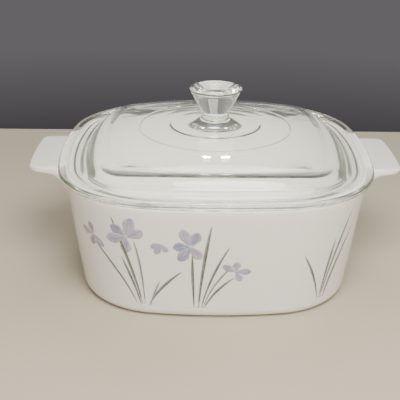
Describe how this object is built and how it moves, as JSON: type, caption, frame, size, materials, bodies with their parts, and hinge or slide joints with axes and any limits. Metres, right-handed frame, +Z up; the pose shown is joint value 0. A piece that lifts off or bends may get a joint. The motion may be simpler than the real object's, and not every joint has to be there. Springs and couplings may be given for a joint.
{
  "type": "covered casserole dish",
  "caption": "Square glass-ceramic casserole dish with side lugs and a lift-off clear glass cover that has a solid knob.",
  "frame": {"origin": "centre of the base, on the plane that the dish stands on", "axes": "+Z up, +X from the middle of the dish through one lug, +Y across the lugs"},
  "size_m": [0.264, 0.222, 0.1333],
  "materials": {
    "white_glass_ceramic": "smooth glossy off-white with a small botanical print on the wall",
    "clear_glass": "clear pressed glass, fire polished"
  },
  "bodies": {
    "dish_body": {"dish": "white_glass_ceramic"},
    "cover_body": {"cover": "clear_glass"}
  },
  "joints": [
    {"name": "cover_lift", "type": "slide", "parent": "dish_body", "child": "cover_body", "axis": [0, 0, 1], "range_m": [0, 0.12]}
  ]
}
